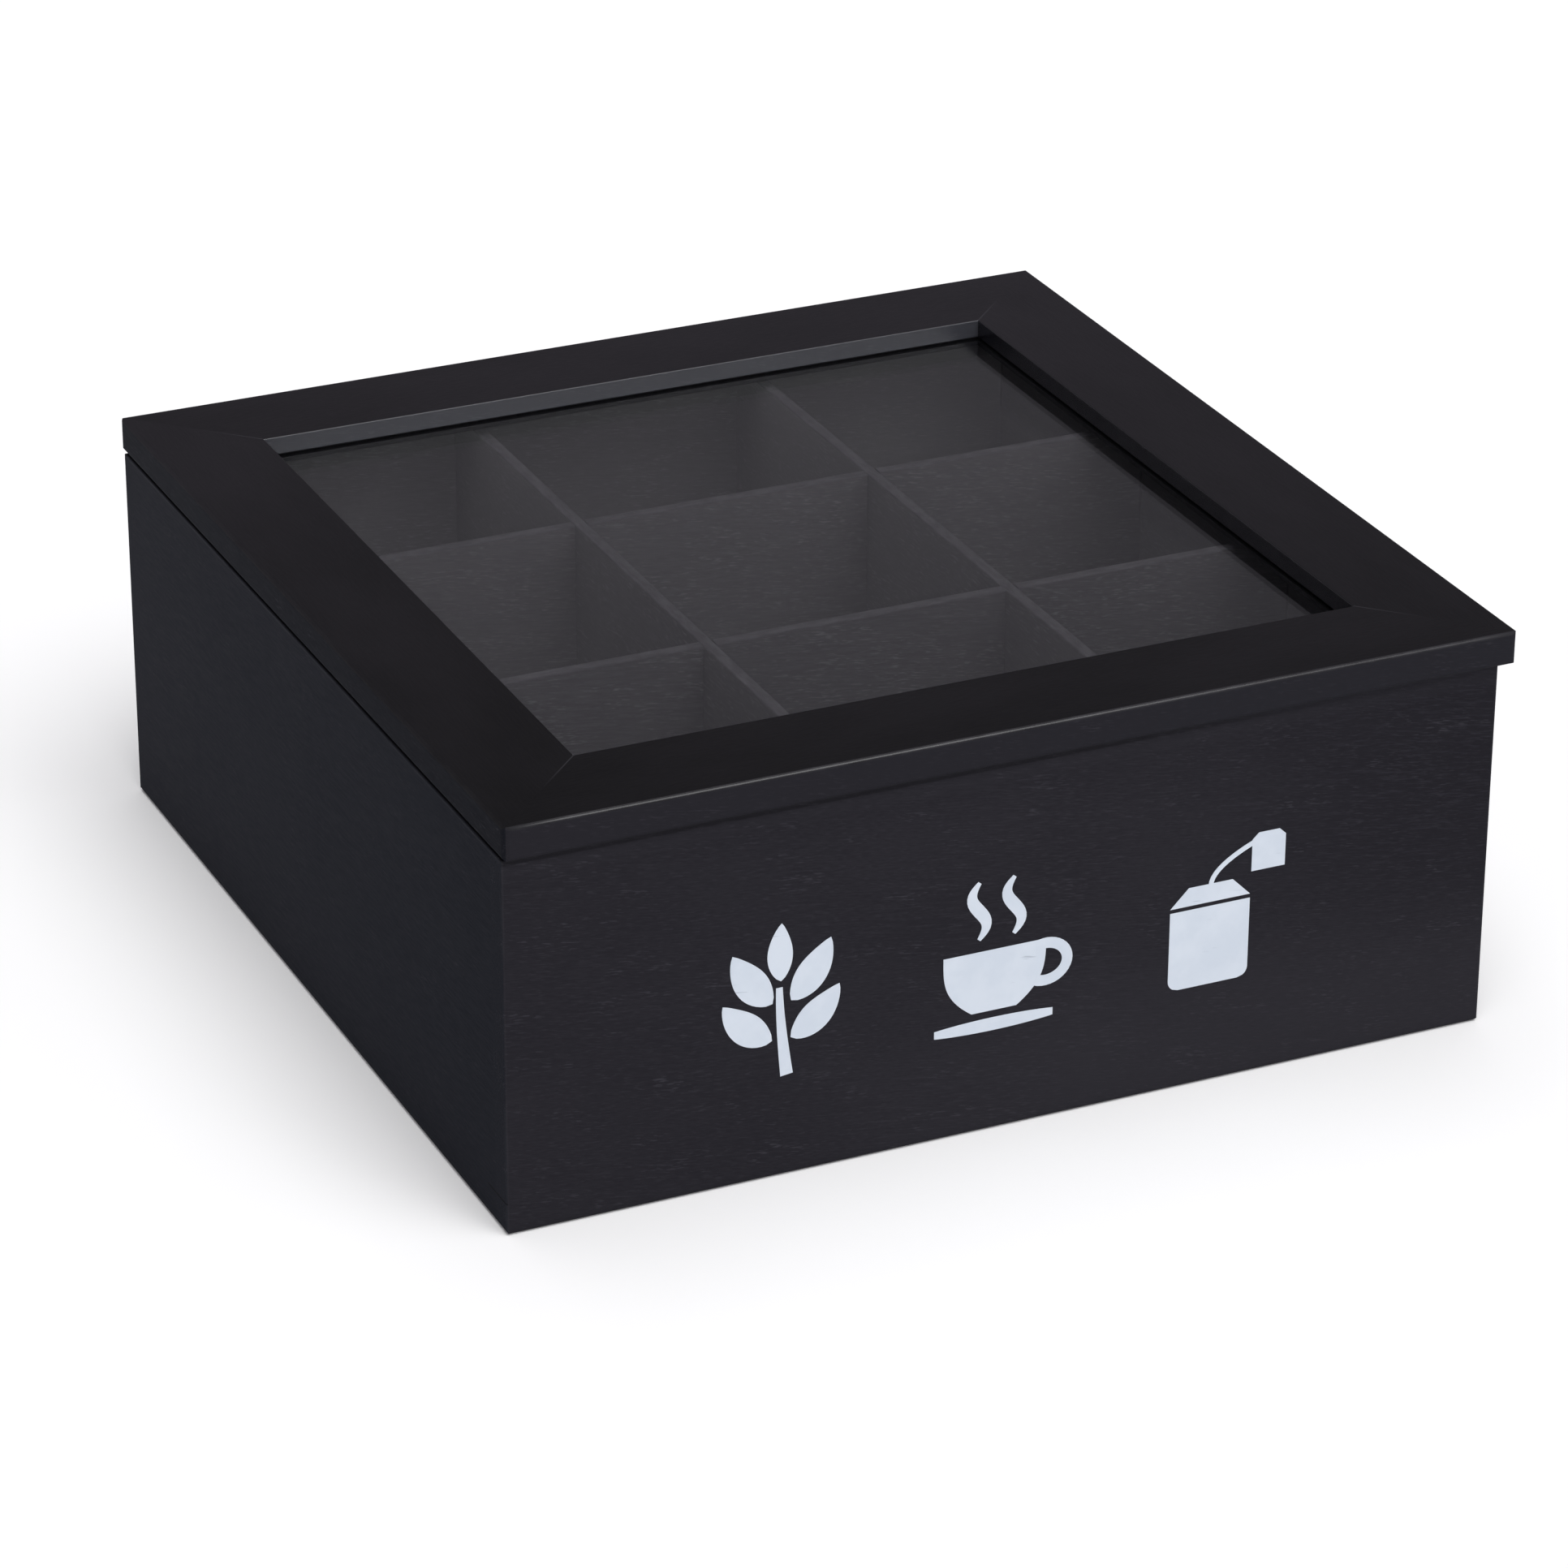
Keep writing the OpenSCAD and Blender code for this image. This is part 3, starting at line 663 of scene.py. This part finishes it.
def print_motif(name, draw, x, ink):
    """Prints a motif on the front panel as a layer of ink with a real thickness."""
    bm = bmesh.new()
    draw(bm)
    bmesh.ops.remove_doubles(bm, verts=bm.verts, dist=WELD)
    bmesh.ops.translate(bm, verts=bm.verts, vec=(x, FRONT_Y - INK_THICKNESS, MOTIF_Z))
    pushed_back = bmesh.ops.extrude_face_region(bm, geom=bm.faces[:])["geom"]
    points = [part for part in pushed_back if isinstance(part, bmesh.types.BMVert)]
    bmesh.ops.translate(bm, verts=points, vec=(0, INK_THICKNESS + INK_BITE, 0))
    bmesh.ops.recalc_face_normals(bm, faces=bm.faces)
    mesh = bpy.data.meshes.new(name)
    bm.to_mesh(mesh)
    bm.free()
    piece = bpy.data.objects.new(name, mesh)
    bpy.context.collection.objects.link(piece)
    mesh.materials.append(ink)
    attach(piece, "box")


def print_front():
    """Prints the three motifs."""
    ink = screen_printed_ink()
    print_motif("printed_sprig", sprig, MOTIF_X["left"], ink)
    print_motif("printed_cup", cup, MOTIF_X["middle"], ink)
    print_motif("printed_tea_bag", tea_bag, MOTIF_X["right"], ink)


def lay_floor():
    """A plain white floor that keeps the box's shadow."""
    material, tree = new_material("matt_white_floor")
    path = node(tree, "LightPath").node.outputs
    seen = node(tree, "Math", {0: path["Is Camera Ray"], 1: path["Is Glossy Ray"]}, operation="MAXIMUM")
    seen = node(tree, "Math", {0: seen, 1: path["Is Transmission Ray"]}, operation="MAXIMUM")
    board = node(tree, "BsdfDiffuse", {"Color": FLOOR_COLOUR})
    glow = node(tree, "Emission", {"Color": "#ffffff", "Strength": all_of(tree, seen, FLOOR_GLOW)})
    node(tree, "OutputMaterial", {"Surface": node(tree, "AddShader", {0: board, 1: glow})})
    bm = bmesh.new()
    bmesh.ops.create_grid(bm, x_segments=1, y_segments=1, size=FLOOR_SIDE / 2)
    mesh = bpy.data.meshes.new("floor")
    bm.to_mesh(mesh)
    bm.free()
    mesh.materials.append(material)
    floor = bpy.data.objects.new("floor", mesh)
    bpy.context.collection.objects.link(floor)


def light_studio():
    """A dim room with a pale band near the floor, and the lamps."""
    world = bpy.data.worlds.new("studio")
    bpy.context.scene.world = world
    world.use_nodes = True
    tree = world.node_tree
    tree.nodes.clear()
    way = along_axes(tree, "Generated")
    back = node(tree, "MapRange", {0: way[1], 1: ROOM_BLEND[0], 2: ROOM_BLEND[1]}, **EASED)
    raised = node(tree, "MapRange", {0: way[2], 1: HORIZON_FADE[0], 2: HORIZON_FADE[1]}, **EASED)
    room = laid_over(tree, ROOM_FRONT, (back, ROOM_BACK))
    colour = laid_over(tree, HORIZON, (raised, room))
    node(tree, "OutputWorld", {"Surface": node(tree, "Background", {"Color": colour, "Strength": 1.0})})

    for name, place in LAMPS.items():
        lamp = bpy.data.lights.new(name, "SUN")
        lamp.energy = place["level"]
        lamp.angle = math.radians(place["width"])
        azimuth = math.radians(place["azimuth"])
        height = math.radians(place["height"])
        level_part = math.cos(height)
        towards = Vector(
            (level_part * math.sin(azimuth), -level_part * math.cos(azimuth), math.sin(height))
        )
        hung = bpy.data.objects.new(name, lamp)
        hung.rotation_euler = towards.to_track_quat("Z", "Y").to_euler()
        bpy.context.collection.objects.link(hung)


def set_camera():
    """The camera at the photograph's viewing angle."""
    level_part = math.cos(TILT)
    forward = Vector((level_part * math.sin(AZIMUTH), level_part * math.cos(AZIMUTH), -math.sin(TILT)))
    level_right = forward.cross(Vector((0, 0, 1))).normalized()
    level_up = level_right.cross(forward)
    right = level_right * math.cos(ROLL) + level_up * math.sin(ROLL)
    up = level_up * math.cos(ROLL) - level_right * math.sin(ROLL)
    turn = Matrix((right, up, -forward)).transposed()
    data = bpy.data.cameras.new("camera")
    data.lens = LENS
    data.sensor_width = SENSOR_WIDTH
    camera = bpy.data.objects.new("camera", data)
    camera.matrix_world = Matrix.Translation(AIM - forward * DISTANCE) @ turn.to_4x4()
    bpy.context.collection.objects.link(camera)
    bpy.context.scene.camera = camera


set_camera()
lay_floor()
light_studio()
paint_pieces()
print_front()
bpy.context.scene.view_settings.view_transform = "Standard"
